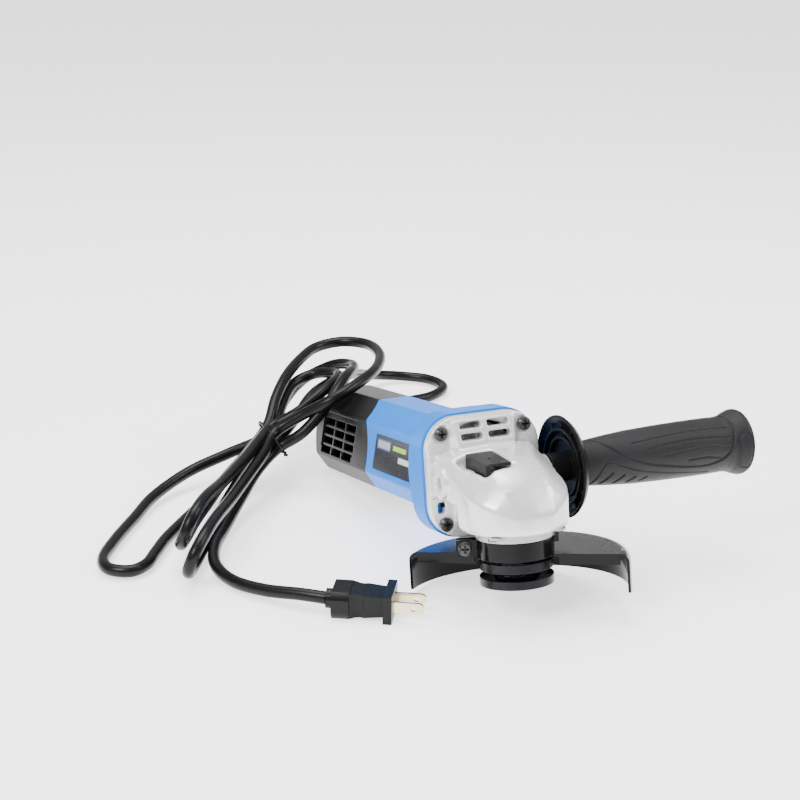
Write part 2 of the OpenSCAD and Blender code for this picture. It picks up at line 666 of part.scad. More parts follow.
module stator_core() {
    color("#5f6063") tool() difference() {
        rod_x(core_x - 1, core_x + armature_len + 1, stator_r);
        rod_x(core_x - 2, core_x + armature_len + 2, armature_r + 0.6);
        for (m = [-1, 1]) translate([0, 0, m * 14.5]) box([core_x - 2, core_x + armature_len + 2], [-9, 9], [-4, 4]);
        box([core_x - 2, core_x + armature_len + 2], [stator_r - 1.2, 30], [-30, 30]);
    }
}
module stator_windings() {
    color("#b5652a") tool() for (x = [core_x - 8, core_x + armature_len + 1.2], m = [-1, 1]) {
        intersection() {
            tube_x(x, x + 6.8, 23.4, 16.2);
            translate([x - 1, -17, m > 0 ? 4 : -30]) cube([9, 34, 26]);
        }
    }
}
module air_baffle() {
    color("#3b3b3f") tool() difference() {
        rod_x(fan_x - 3.4, fan_x - 1.4, 30.4);
        rod_x(fan_x - 5, fan_x + 1, 17);
    }
}
module behind_cover_curve(extra) {
    translate([cover_curve_x, 0, cover_curve_z]) rod_y(-60, 60, cover_curve_r + extra, $fn = 96);
    box([-400, cover_curve_x], [-60, 60], [-60, 60]);
}
module motor_housing() {
    color("#2f8fe0") tool() difference() {
        union() {
            difference() {
                union() {
                    along_x(-172, parting_x - 2) barrel_outline(barrel_r);
                    along_x(parting_x - collar_depth, parting_x) rounded_square(collar_half, flange_corner + 1);
                    intersection() {
                        cone_x(parting_x - collar_depth - 10, parting_x - collar_depth + 3, barrel_r, barrel_r + 14);
                        along_x(parting_x - collar_depth - 10, parting_x - collar_depth + 1) {
                            rounded_square(collar_half - 0.6, flange_corner + 1);
                        }
                    }
                }
                rod_x(-180, parting_x - collar_depth + 2, case_r);
                rod_x(parting_x - collar_depth, parting_x + 1, 30.4);
                behind_cover_curve(0.15);
            }
            // bulkhead with the rear bearing seat
            difference() {
                rod_x(rear_brg_x, rear_brg_x + 7.5, case_r + 0.3);
                for (a = [45:90:315]) rotate([a, 0, 0]) {
                    box([rear_brg_x - 1, rear_brg_x + 9], [-5, 5], [14, case_r - 2.6]);
                }
            }
            // rings that hold the stator
            tube_x(core_x - 1, core_x + 3, case_r + 0.3, stator_r);
            tube_x(core_x + armature_len - 4, core_x + armature_len + 1, case_r + 0.3, stator_r);
            // tongue that the rear cover screws into
            box([-166, rear_brg_x + 1], [-11, 11], [-case_r + 2.4, -case_r + 6.4]);
            box([rear_brg_x, rear_brg_x + 7], [-11, 11], [-case_r - 0.3, -case_r + 6.4]);
        }
        rod_x(rear_brg_x - 1, rear_brg_x + rear_brg[2], rear_brg[1] + 1.5);
        rod_x(-135, rear_brg_x + 9, 8);
        // window and channel for the power slide
        box([slide_x - 16, slide_x + 16], [case_r - 2, 40], [slide_z - 3.5, slide_z + 3.5]);
        box([-132, slide_x + 17], [24.4, 27.2], [slide_z - 3.2, slide_z + 3.2]);
        box([-150, -121], [19.5, 27.2], [slide_z - 3.2, slide_z + 3.2]);
        // pilot holes
        four_corners(flange_screw_at) rod_x(parting_x - 14, parting_x + 1, 2.15);
        for (y = [-8, 8]) translate([-158, y, 0]) rod_z(-30, -10, 1.5);
        // recess for the rating panel
        rotate([panel_lean, 0, 0]) box([-132, -64.5], [-40, -panel_at + 0.6], [-13.8, 7.6]);
    }
}
module rating_panel() {
    color("#3a3d42") tool() rotate([panel_lean, 0, 0]) box([-131.7, -64.8], [-panel_at + 0.1, -panel_at + 0.6], [-13.5, 7.3]);
}
module brush_holders() {
    color("#c9a44a") tool() for (m = [-1, 1]) scale([1, 1, m]) translate([core_x - 17, 0, 0]) difference() {
        box([-4.4, 4.4], [-5, 5], [11.4, 25]);
        box([-3.1, 3.1], [-3.6, 3.6], [10, 24.2]);
    }
}
module carbon_brushes() {
    color("#2b2b2b") tool() for (m = [-1, 1]) scale([1, 1, m]) translate([core_x - 17, 0, 0]) {
        box([-3, 3], [-3.5, 3.5], [commutator_r + 0.1, 19]);
    }
}
module brush_springs() {
    color("#a0a0a4") tool() for (m = [-1, 1]) scale([1, 1, m]) translate([core_x - 17, 0, 19]) {
        for (k = [0:3]) translate([0, 0, 0.4 + k * 1.4]) rotate_extrude() translate([2.1, 0]) circle(r = 0.35, $fn = 16);
        translate([2.1, 0, 0]) rod_z(0, 5.2, 0.3, $fn = 16);
    }
}
module slide_button() {
    color("#1d1d1f") tool() difference() {
        union() {
            box([slide_x - slide_len / 2, slide_x + slide_len / 2], [barrel_r + 2.2, barrel_r + 4.2], [slide_z - 7, slide_z + 7]);
            for (k = [-3:3]) box([slide_x + k * 3 - 0.6, slide_x + k * 3 + 0.6], [barrel_r + 4, barrel_r + 5.2], [slide_z - 6, slide_z + 6]);
            box([slide_x - 6, slide_x + 6], [26.8, barrel_r + 3], [slide_z - 3, slide_z + 3]);
        }
    }
}
module slide_rod() {
    color("#e0e0dc") tool() union() {
        box([-128, slide_x + 8], [25.2, 26.8], [slide_z - 2.6, slide_z + 2.6]);
        box([-131, -128], [20.5, 26.8], [slide_z - 2.6, slide_z + 2.6]);
        box([-165, -131], [20.5, 23.6], [slide_z - 2.6, slide_z + 2.6]);
        box([-168, -165], [3, 23.6], [slide_z - 2.6, slide_z + 2.6]);
    }
}
module switch_body() {
    color("#1a1a1c") tool() union() {
        box([-212, -176], [-9, 11], [-10, 12]);
        box([-176, -171], [2, 9], [slide_z - 3, slide_z + 3]);
        for (z = [-6, 0]) box([-218, -212], [-4, -1], [z, z + 0.8]);
    }
}
module rear_cover() {
    end = -tail_x;
    color("#26262a") tool() difference() {
        union() {
            intersection() {
                along_x(end, cover_curve_x + 60) barrel_outline(barrel_r);
                behind_cover_curve(0);
                above_boat_tail(0);
            }
        }
        // inside of the shell
        intersection() {
            along_x(end + wall, 0) offset(delta = -wall) barrel_outline(barrel_r);
            above_boat_tail(wall);
        }
        // cord outlet
        rod_x(end - 5, end + 20, 5.6);
        // air inlets: four rows of three slots on each side
        for (m = [-1, 1], row = [0:3], col = [0:2]) {
            translate([-216 + col * 19, m * barrel_r, 11 - row * 6]) cube([17, 14, 4.4], center = true);
        }
        // shallow recess round the inlets
        for (m = [0, 1]) mirror([0, m, 0]) rotate([panel_lean, 0, 0]) {
            box([-226, -167], [-40, -panel_at + 0.8], [-12, 11]);
        }
        // screw holes
        for (y = [-8, 8]) translate([-158, y, 0]) rod_z(-40, -20, 1.9);
        for (y = [-8, 8]) translate([-158, y, 0]) rod_z(-40, -rest_r + 1, 3.2);
    }
    color("#26262a") tool() rear_cover_ribs();
}
module above_boat_tail(shift) {
    intersection() {
        translate([-tail_rest_x, 0, -rest_r]) rotate([0, 40, 0]) box([-100, 300], [-60, 60], [shift, 300]);
        union() {
            rod_x(-tail_x + 23, 0, 60);
            cone_x(-tail_x + shift, -tail_x + 23.1, 21 - 0.6 * shift, barrel_r + 8 - 1.1 * shift);
        }
    }
}
module rear_cover_ribs() {
    // saddles for the switch
    for (x = [-205, -186]) box([x, x + 4], [-12, 12], [-barrel_r + wall, -10.2]);
    // posts under the cord clamp
    for (m = [-1, 1]) translate([-232, m * 8.5, 0]) rod_z(-21, -14, 3.4);
}
module rear_cover_screws() {
    color("#222222") tool() for (y = [-8, 8]) translate([-158, y, -rest_r + 1]) rotate([0, 90, 0]) {
        pan_screw_x(3, 1.4, 1.45, 9);
    }
}
module cord_clamp() {
    color("#3b3b3f") tool() union() {
        box([-236, -228], [-11, 11], [-11, -6.9]);
        for (m = [-1, 1]) translate([-232, m * 8.5, 0]) rod_z(-14, -11, 2.6);
    }
}
module cord_boot() {
    end = -tail_x;
    color("#17171a") tool() difference() {
        union() {
            cone_x(end - boot_len, end - 3, 5, 7);
            rod_x(end - 3, end, 8.4);
            rod_x(end, end + 6, 5.5);
            rod_x(end + wall, end + 6, 7.5);
        }
        for (k = [0:5]) tube_x(end - boot_len + 4 + k * 5, end - boot_len + 5.6 + k * 5, 9, 4.5);
    }
}

// Mains lead, swept along its route points
function mix_point(p, t) = 0.5 * (2 * p[1] + (p[2] - p[0]) * t + (2 * p[0] - 5 * p[1] + 4 * p[2] - p[3]) * t * t
    + (3 * p[1] - p[0] - 3 * p[2] + p[3]) * t * t * t);
function around(pts, i) = [pts[max(i - 1, 0)], pts[i], pts[i + 1], pts[min(i + 2, len(pts) - 1)]];
function smooth(pts, steps) = concat(
    [for (i = [0:len(pts) - 2], k = [0:steps - 1]) mix_point(around(pts, i), k / steps)], [pts[len(pts) - 1]]);
function unit(v) = v / norm(v);
function tangent(pts, i) = unit(pts[min(i + 1, len(pts) - 1)] - pts[max(i - 1, 0)]);
function side_dir(t) = unit(cross(t, [0, 0, 1]));
function ring_at(pts, i, r, sides) = let(t = tangent(pts, i), a = side_dir(t), b = cross(a, t))
    [for (k = [0:sides - 1]) pts[i] + r * (a * cos(k * 360 / sides) + b * sin(k * 360 / sides))];
module swept_tube(pts, r, sides) {
    last = len(pts) - 1;
    points = [for (i = [0:last]) each ring_at(pts, i, r, sides)];
    walls = [for (i = [0:last - 1], k = [0:sides - 1]) let(n = (k + 1) % sides)
        [i * sides + k, (i + 1) * sides + k, (i + 1) * sides + n, i * sides + n]];
    caps = [[for (k = [0:sides - 1]) k], [for (k = [sides - 1:-1:0]) last * sides + k]];
    polyhedron(points, concat(walls, caps), convexity = 20);
}
cord_exit = [-(tail_x + boot_len) * cos(tool_tilt) - seat_drop * sin(tool_tilt), 0,
    -(tail_x + boot_len) * sin(tool_tilt) + seat_drop * cos(tool_tilt)];
cord_points = concat([cord_exit], cord_route, [[plug_at[0], plug_at[1], plug_mid]]);
module cord() {
    color("#141416") swept_tube(smooth(cord_points, 1), cord_r, 8);
}
module cord_tie() {
    color("#0c0c0d") translate([-234, -64, 5.5]) rotate([121, 0, 0]) difference() {
        hull() for (x = [-7.6, 7.6]) translate([x, 0, 0]) cylinder(h = 1.6, r = 9.6, center = true, $fn = 32);
        hull() for (x = [-7.6, 7.6]) translate([x, 0, 0]) cylinder(h = 3, r = 8.8, center = true, $fn = 32);
    }
}
module at_plug() {
    translate([plug_at[0], plug_at[1], plug_mid]) rotate([0, 0, plug_turn]) children();
}
module plug_body() {
    color("#141416") at_plug() difference() {
        union() {
            rod_x(0, 4, 5.6);
            cone_x(4, 13, 7.2, 8);
            intersection() {
                box([4, 14], [-11, 11], [-8, 8]);
                rod_x(3, 15, 11.6);
            }
            hull() {
                box([13, 14], [-9.5, 9.5], [-7.2, 7.2]);
                box([31, 33], [-8.5, 8.5], [-5.6, 5.6]);
            }
            box([33, 38], [-12.4, 12.4], [-8, 8]);
        }
        for (m = [-1, 1]) translate([0, m * blade_gap / 2, 0]) box([26, 39], [-0.76, 0.76], [-3.2, 3.2]);
        for (m = [-1, 1]) translate([19, m * 13, 0]) rod_z(-9, 9, 5);
    }
}
module plug_blades() {
    color("#c9b98a") at_plug() for (m = [-1, 1]) translate([0, m * blade_gap / 2, 0]) difference() {
        union() {
            box([26, 52], [-0.75, 0.75], [-3.15, 3.15]);
            translate([52, 0, 0]) rotate([90, 0, 0]) cylinder(h = 1.5, r = 3.15, center = true);
        }
        translate([49.5, 0, 0]) rotate([90, 0, 0]) cylinder(h = 4, r = 1.6, center = true);
    }
}

function handle_profile() = [[11, 20], [12.8, 20], [13.4, 26], [14.6, 38], [15.7, 52], [16.3, 70], [16.6, 88],
    [16.6, 104], [16.4, 112], [16.9, 116.5], [18.4, 120], [handle_end_r, 123.5], [handle_end_r, handle_len - 4],
    [19, handle_len - 2.2], [17.2, handle_len - 1], [11, handle_len - 1]];
module handle_axis() {
    tool() translate([-handle_x, 0, 0]) rotate([-90, 0, 0]) translate([0, 0, handle_boss]) children();
}
module handle_core() {
    color("#1a1a1c") handle_axis() difference() {
        union() {
            rod_z(0.3, 26, 8.6);
            lathe([[8, 12.6], [19, 12.4], [25, 11.2], [disc_r - 1.6, 8.8], [disc_r - 0.8, 8.4], [disc_r, 8.8],
                [disc_r, 9.8], [27, 12.6], [21, 14.4], [13, 17], [12.8, 20], [8, 20]]);
            tube_z(9.2, 13, 22.4, 20.9);
            tube_z(10, 13, 17.6, 16.2);
            tube_z(19, 125, 11, 6);
            for (k = [0:11]) rotate([0, 0, k * 30]) box([21.5, 26], [-0.7, 0.7], [10.2, 12.6]);
        }
        rod_z(-1, 27, 4 - 0.07);
    }
}
module handle_grip() {
    color("#303033") handle_axis() difference() {
        lathe(handle_profile());
        rod_z(118, 140, 8, $fn = 6);
    }
}
module handle_stud() {
    color("#a8aab0") handle_axis() union() {
        rod_z(-handle_hole_depth + 1, 26, handle_hole_r - 0.07);
    }
}

gear_case();
gear_case_screws();
bearing_cover();
bearing_cover_screws();
lock_button();
lock_pin();
lock_spring();
spindle();
spindle_gear();
spindle_bearing();
spindle_bearing_race();
spindle_bush();
felt_seal();
inner_flange();
flange_nut();
guard();
guard_band();
guard_clamp_screw();
guard_clamp_nut();
pinion();
pinion_nut();
armature_shaft();
armature_core();
armature_winding();
commutator();
fan();
front_bearing();
front_bearing_race();
rear_bearing();
rear_bearing_race();
bearing_boot();
stator_core();
stator_windings();
air_baffle();
motor_housing();
brush_holders();
carbon_brushes();
brush_springs();
slide_button();
slide_rod();
switch_body();
rear_cover();
rear_cover_screws();
cord_clamp();
cord_boot();
cord();
cord_tie();
plug_body();
plug_blades();
handle_core();
handle_grip();
handle_stud();
rating_panel();
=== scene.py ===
import bpy, bmesh, math
from mathutils import Vector, Matrix


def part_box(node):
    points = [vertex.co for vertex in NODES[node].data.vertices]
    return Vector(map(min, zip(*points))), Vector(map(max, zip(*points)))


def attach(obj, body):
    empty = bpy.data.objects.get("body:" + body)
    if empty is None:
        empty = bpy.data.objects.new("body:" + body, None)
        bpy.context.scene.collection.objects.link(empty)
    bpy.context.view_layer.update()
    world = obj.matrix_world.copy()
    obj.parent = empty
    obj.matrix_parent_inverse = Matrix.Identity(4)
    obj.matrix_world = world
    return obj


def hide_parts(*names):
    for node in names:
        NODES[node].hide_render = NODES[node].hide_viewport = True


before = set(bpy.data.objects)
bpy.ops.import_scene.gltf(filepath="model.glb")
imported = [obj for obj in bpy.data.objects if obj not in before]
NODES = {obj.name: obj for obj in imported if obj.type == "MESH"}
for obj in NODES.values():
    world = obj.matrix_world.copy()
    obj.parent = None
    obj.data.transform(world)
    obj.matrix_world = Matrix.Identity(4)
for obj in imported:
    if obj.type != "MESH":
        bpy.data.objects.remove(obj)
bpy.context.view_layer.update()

# ---------------------------------------------------------------- tool frame
SEAT = 0.0468
REST_R, RIM, TAIL_REST, GUARD_R = 0.0294, 0.0616, 0.226, 0.0628
TILT = math.atan((RIM - REST_R) / (TAIL_REST - GUARD_R))
FLOOR = -(GUARD_R * math.sin(TILT) + (RIM - SEAT) * math.cos(TILT))
TOOL = Matrix.Rotation(-TILT, 4, "Y") @ Matrix.Translation((0, 0, SEAT))


def tool(x, y, z):
    return TOOL @ Vector((x, y, z))


# ---------------------------------------------------------------- camera
def make_camera():
    cam = bpy.data.cameras.new("camera")
    cam.lens = 78.5
    cam.sensor_width = 36
    cam.clip_start, cam.clip_end = 0.05, 20
    ob = bpy.data.objects.new("camera", cam)
    bpy.context.scene.collection.objects.link(ob)
    look = Vector((-0.8748, 0.3653, -0.3184)).normalized()
    right = look.cross(Vector((0, 0, 1))).normalized()
    up = right.cross(look)
    rot = Matrix((right, up, -look)).transposed()
    roll = Matrix.Rotation(math.radians(ROLL), 3, "Z")
    ob.matrix_world = Matrix.Translation((0.7898, -0.4003, 0.3925)) @ (rot @ roll).to_4x4()
    bpy.context.scene.camera = ob


ROLL = 0.53
make_camera()


# ---------------------------------------------------------------- node helpers
class Graph:
    def __init__(self, name):
        self.mat = bpy.data.materials.new(name)
        self.mat.use_nodes = True
        self.tree = self.mat.node_tree
        self.bsdf = self.tree.nodes["Principled BSDF"]
        coord = self.add("ShaderNodeTexCoord")
        self.coord = coord.outputs["Object"]

    def add(self, kind, **values):
        node = self.tree.nodes.new(kind)
        for key, value in values.items():
            setattr(node, key, value)
        return node

    def link(self, a, b):
        self.tree.links.new(a, b)

    def set(self, **values):
        for key, value in values.items():
            self.bsdf.inputs[key.replace("_", " ")].default_value = value

    def noise(self, scale, detail=3.0, rough=0.5, stretch=None):
        node = self.add("ShaderNodeTexNoise")
        node.inputs["Scale"].default_value = scale
        node.inputs["Detail"].default_value = detail
        node.inputs["Roughness"].default_value = rough
        source = self.coord
        if stretch:
            mapping = self.add("ShaderNodeMapping")
            mapping.inputs["Scale"].default_value = stretch
            self.link(source, mapping.inputs["Vector"])
            source = mapping.outputs["Vector"]
        self.link(source, node.inputs["Vector"])
        return node.outputs["Fac"]

    def ramp(self, fac, low, high, a=0.35, b=0.65):
        node = self.add("ShaderNodeValToRGB")
        node.color_ramp.elements[0].position = a
        node.color_ramp.elements[1].position = b
        node.color_ramp.elements[0].color = (*low, 1)
        node.color_ramp.elements[1].color = (*high, 1)
        self.link(fac, node.inputs["Fac"])
        return node.outputs["Color"]

    def span(self, fac, low, high):
        node = self.add("ShaderNodeMapRange")
        node.inputs["From Min"].default_value = 0.3
        node.inputs["From Max"].default_value = 0.7
        node.inputs["To Min"].default_value = low
        node.inputs["To Max"].default_value = high
        self.link(fac, node.inputs["Value"])
        return node.outputs["Result"]

    def bump(self, height, strength, distance, normal=None):
        node = self.add("ShaderNodeBump")
        node.inputs["Strength"].default_value = strength
        node.inputs["Distance"].default_value = distance
        self.link(height, node.inputs["Height"])
        if normal is not None:
            self.link(normal, node.inputs["Normal"])
        return node.outputs["Normal"]


def shade(colour, amount):
    return tuple(max(0.0, min(1.0, c * amount)) for c in colour)


def surface(name, colour, rough, metal=0.0, grain=900, bump=0.15, depth=0.0002, vary=0.08,
            spread=0.08, edge=0.0006, coat=0.0, coat_rough=0.1, blotch=40, wear=None, stretch=None,
            ior=1.45):
    """One finish: fine grain in the bump, slow variation in colour and roughness, rounded edges."""
    g = Graph(name)
    g.set(Metallic=metal, IOR=ior)
    if coat:
        g.set(Coat_Weight=coat, Coat_Roughness=coat_rough)
    slow = g.noise(blotch, 4)
    base = g.ramp(slow, shade(colour, 1 - vary), shade(colour, 1 + vary))
    fine = g.noise(grain, 2, 0.6, stretch)
    g.link(g.span(fine, max(0.02, rough - spread), rough + spread), g.bsdf.inputs["Roughness"])
    normal = None
    if edge:
        bevel = g.add("ShaderNodeBevel", samples=4)
        bevel.inputs["Radius"].default_value = edge
        normal = bevel.outputs["Normal"]
    if wear:
        geometry = g.add("ShaderNodeNewGeometry")
        sharp = g.ramp(geometry.outputs["Pointiness"], (0, 0, 0), (1, 1, 1), 0.52, 0.60)
        mix = g.add("ShaderNodeMix", data_type="RGBA")
        g.link(sharp, mix.inputs["Factor"])
        g.link(base, mix.inputs[6])
        mix.inputs[7].default_value = (*wear, 1)
        base = mix.outputs[2]
    g.link(base, g.bsdf.inputs["Base Color"])
    g.link(g.bump(fine, bump, depth, normal), g.bsdf.inputs["Normal"])
    return g.mat


MATS = {
    "silver": surface("silver_paint", (0.78, 0.785, 0.80), 0.30, 0.4, 1500, 0.08, 0.0002, 0.03,
                      0.06, 0.0008, coat=0.3),
    "cast": surface("cast_plate", (0.50, 0.51, 0.52), 0.42, 0.8, 700, 0.35, 0.0003, 0.06, 0.1),
    "black_screw": surface("black_screws", (0.008, 0.008, 0.009), 0.28, 0.3, 1500, 0.12, 0.0002,
                           0.2, 0.08, 0.0002, wear=(0.10, 0.10, 0.10)),
    "dark_plastic": surface("dark_plastic", (0.012, 0.012, 0.013), 0.42, 0, 2600, 0.3, 0.0003, 0.1,
                            0.08, 0.0005, ior=1.28),
    "steel": surface("steel", (0.56, 0.57, 0.58), 0.26, 1.0, 500, 0.12, 0.0002, 0.05, 0.08, 0.0002,
                     stretch=(1, 1, 8)),
    "spring": surface("spring_steel", (0.45, 0.45, 0.46), 0.3, 1.0, 800, 0.1, 0.0001, 0.06, 0.08, 0),
    "gear": surface("gear_steel", (0.34, 0.34, 0.35), 0.3, 1.0, 900, 0.2, 0.0002, 0.1, 0.1, 0.0001),
    "dark_steel": surface("dark_steel", (0.02, 0.02, 0.022), 0.25, 1.0, 260, 0.25, 0.0002, 0.12,
                          0.1, 0.0003, stretch=(1, 1, 30)),
    "guard": surface("guard_paint", (0.003, 0.003, 0.0035), 0.14, 0.0, 300, 0.05, 0.0002, 0.2,
                     0.03, 0.0004, ior=1.25),
    "bronze": surface("bronze", (0.55, 0.40, 0.22), 0.4, 1.0, 900, 0.2, 0.0002, 0.1),
    "felt": surface("felt", (0.60, 0.57, 0.50), 0.9, 0, 1600, 0.8, 0.0005, 0.1, 0.05, 0),
    "laminations": surface("laminations", (0.30, 0.30, 0.31), 0.45, 1.0, 300, 0.5, 0.0003, 0.1,
                           0.1, 0, stretch=(12, 1, 1)),
    "copper": surface("copper", (0.60, 0.28, 0.13), 0.35, 0.9, 600, 0.6, 0.0004, 0.12, 0.1, 0,
                      stretch=(1, 6, 1)),
    "fan": surface("fan_plastic", (0.72, 0.71, 0.66), 0.45, 0, 1500, 0.2, 0.0002, 0.04),
    "blue": surface("housing_blue", (0.0, 0.19, 0.72), 0.36, 0, 2400, 0.16, 0.00025, 0.035, 0.06,
                    0.0009, ior=1.2),
    "black": surface("cover_black", (0.006, 0.006, 0.0068), 0.32, 0, 2400, 0.2, 0.00025, 0.08,
                     0.06, 0.0009, ior=1.2),
    "panel": surface("rating_panel", (0.010, 0.011, 0.014), 0.28, 0, 1800, 0.05, 0.0001, 0.05,
                     0.04, 0.0002, ior=1.28),
    "carbon": surface("carbon", (0.05, 0.05, 0.05), 0.5, 0.3, 1200, 0.3, 0.0002, 0.1),
    "rubber": surface("grip_rubber", (0.016, 0.0155, 0.017), 0.46, 0, 3000, 0.5, 0.0003, 0.08,
                      0.08, 0.0004, ior=1.28),
    "jacket": surface("cord_jacket", (0.004, 0.004, 0.0045), 0.30, 0, 1800, 0.15, 0.0002, 0.15,
                      0.06, 0, ior=1.28),
    "brass": surface("plated_brass", (0.78, 0.66, 0.44), 0.2, 1.0, 900, 0.1, 0.0001, 0.06, 0.06, 0.0002),
}


def banded_panel():
    """Plain dark plate with generic pale bands, no lettering."""
    mat = MATS["panel"]
    tree = mat.node_tree
    bsdf = tree.nodes["Principled BSDF"]
    coord = tree.nodes.new("ShaderNodeTexCoord")
    place_in = tree.nodes.new("ShaderNodeMapping")
    place_in.inputs["Rotation"].default_value = (0, TILT, 0)
    tree.links.new(coord.outputs["Object"], place_in.inputs["Vector"])
    split = tree.nodes.new("ShaderNodeSeparateXYZ")
    tree.links.new(place_in.outputs["Vector"], split.inputs["Vector"])

    def between(socket, low, high):
        over = tree.nodes.new("ShaderNodeMath")
        over.operation = "GREATER_THAN"
        over.inputs[1].default_value = low
        under = tree.nodes.new("ShaderNodeMath")
        under.operation = "LESS_THAN"
        under.inputs[1].default_value = high
        both = tree.nodes.new("ShaderNodeMath")
        both.operation = "MULTIPLY"
        tree.links.new(socket, over.inputs[0])
        tree.links.new(socket, under.inputs[0])
        tree.links.new(over.outputs[0], both.inputs[0])
        tree.links.new(under.outputs[0], both.inputs[1])
        return both.outputs[0]

    colour = bsdf.inputs["Base Color"].links[0].from_socket
    for (x0, x1), (z0, z1), tint in PANEL_BANDS:
        area = tree.nodes.new("ShaderNodeMath")
        area.operation = "MULTIPLY"
        tree.links.new(between(split.outputs["X"], x0 / 1000, x1 / 1000), area.inputs[0])
        tree.links.new(between(split.outputs["Z"], (z0 + 46.8) / 1000, (z1 + 46.8) / 1000), area.inputs[1])
        mix = tree.nodes.new("ShaderNodeMix")
        mix.data_type = "RGBA"
        tree.links.new(area.outputs[0], mix.inputs["Factor"])
        tree.links.new(colour, mix.inputs[6])
        mix.inputs[7].default_value = (*tint, 1)
        colour = mix.outputs[2]
    tree.links.new(colour, bsdf.inputs["Base Color"])


PANEL_BANDS = [  # (x range), (height range) in the tool's own millimetres, colour
    ((-129, -108), (5.5, 11.5), (0.03, 0.10, 0.30)),
    ((-128, -109), (6.4, 10.6), (0.35, 0.36, 0.38)),
    ((-104, -84), (7.2, 10.0), (0.35, 0.55, 0.04)),
    ((-94, -68), (1.0, 4.3), (0.60, 0.60, 0.62)),
]
banded_panel()
FINISH = {
    "silver": ["gear_case"], "cast": ["bearing_cover"],
    "black_screw": ["gear_case_screws", "bearing_cover_screws", "rear_cover_screws",
                    "guard_clamp_screw", "guard_clamp_nut"],
    "dark_plastic": ["lock_button", "slide_button", "switch_body", "cord_clamp", "air_baffle",
                     "bearing_boot"],
    "steel": ["lock_pin", "spindle", "armature_shaft", "pinion_nut", "handle_stud", "spindle_bearing",
              "spindle_bearing_race", "front_bearing", "front_bearing_race", "rear_bearing",
              "rear_bearing_race"],
    "spring": ["lock_spring", "brush_springs"], "gear": ["spindle_gear", "pinion"],
    "dark_steel": ["inner_flange", "flange_nut"], "guard": ["guard", "guard_band"],
    "bronze": ["spindle_bush", "brush_holders"], "felt": ["felt_seal"],
    "laminations": ["armature_core", "stator_core"], "copper": ["armature_winding", "commutator",
                                                                "stator_windings"],
    "fan": ["fan", "slide_rod"], "blue": ["motor_housing"], "black": ["rear_cover", "handle_core"],
    "panel": ["rating_panel"], "carbon": ["carbon_brushes"], "rubber": ["handle_grip"],
    "jacket": ["cord_boot", "plug_body", "cord_tie", "cord"], "brass": ["plug_blades"],
}
for key, names in FINISH.items():
    for node_name in names:
        for material_slot in NODES[node_name].material_slots:
            material_slot.material = MATS[key]

# ---------------------------------------------------------------- mains lead
CORD_EXIT = tool(-0.288, 0, 0)
PLUG_AT = Vector((-0.037, -0.098, FLOOR + 0.008))
ROUTE = [
    (-312, 2, -14), (-332, 16, -20), (-343, 42, -22), (-344, 72, -22), (-349, 100, -22), (-366, 118, -22),
    (-388, 115, -22), (-401, 96, -21), (-396, 72, -16), (-362, 46, -2), (-316, 16, 13), (-286, -6, 19),
    (-268, -24, 18), (-249, -43, 9), (-230, -64, 1),
    (-222, -84, -10), (-199, -104, -18), (-173, -120, -22), (-147, -134, -22), (-124, -146, -22),
    (-105, -156, -21),
    (-92, -161, -15), (-89, -158, -4), (-98, -149, 3), (-117, -137, 4), (-146, -119, 2), (-176, -100, 2),
    (-206, -79, 5), (-226, -64, 11),
    (-222, -47, 22), (-212, -27, 35), (-225, -2, 41), (-247, 16, 41), (-276, 29, 40), (-303, 31, 39),
    (-319, 18, 38), (-319, -1, 36), (-304, -18, 34), (-281, -37, 30), (-260, -52, 22), (-242, -64, 10),
    (-229, -83, -3), (-209, -103, -9), (-185, -121, -13), (-160, -137, -14), (-138, -149, -14),
    (-121, -157, -11), (-112, -157, -1), (-116, -150, 9), (-132, -138, 12), (-160, -119, 9), (-190, -97, 9),
    (-214, -80, 10), (-234, -64, 12),
    (-232, -46, 21), (-238, -28, 30), (-252, -12, 33), (-274, -4, 30), (-291, -13, 26), (-288, -30, 21),
    (-266, -46, 14), (-238, -64, 1),
    (-233, -86, -11), (-211, -112, -20), (-184, -136, -22), (-158, -156, -22), (-139, -168, -22),
    (-125, -177, -22), (-119, -188, -22), (-127, -199, -22), (-143, -198, -22), (-167, -185, -22),
    (-196, -166, -22),
    (-223, -146, -20), (-243, -118, -15), (-248, -90, -8), (-246, -64, 1),
    (-266, -50, 3), (-294, -34, 8), (-311, -14, 16), (-305, 5, 26), (-287, 12, 31), (-264, 5, 35),
    (-240, -10, 38), (-220, -29, 29), (-217, -48, 12), (-222, -64, 1),
    (-210, -82, -8), (-187, -101, -17), (-160, -119, -22), (-134, -133, -22), (-108, -140, -22),
    (-84, -137, -22), (-64, -125, -21), (-48, -110, -19),
]


def catmull(points, steps):
    out = []
    last = len(points) - 1
    for i in range(last):
        p0, p1, p2, p3 = points[max(i - 1, 0)], points[i], points[i + 1], points[min(i + 2, last)]
        for k in range(steps):
            t = k / steps
            out.append(0.5 * (2 * p1 + (p2 - p0) * t + (2 * p0 - 5 * p1 + 4 * p2 - p3) * t * t
                              + (3 * p1 - p0 - 3 * p2 + p3) * t ** 3))
    return out + [points[last]]


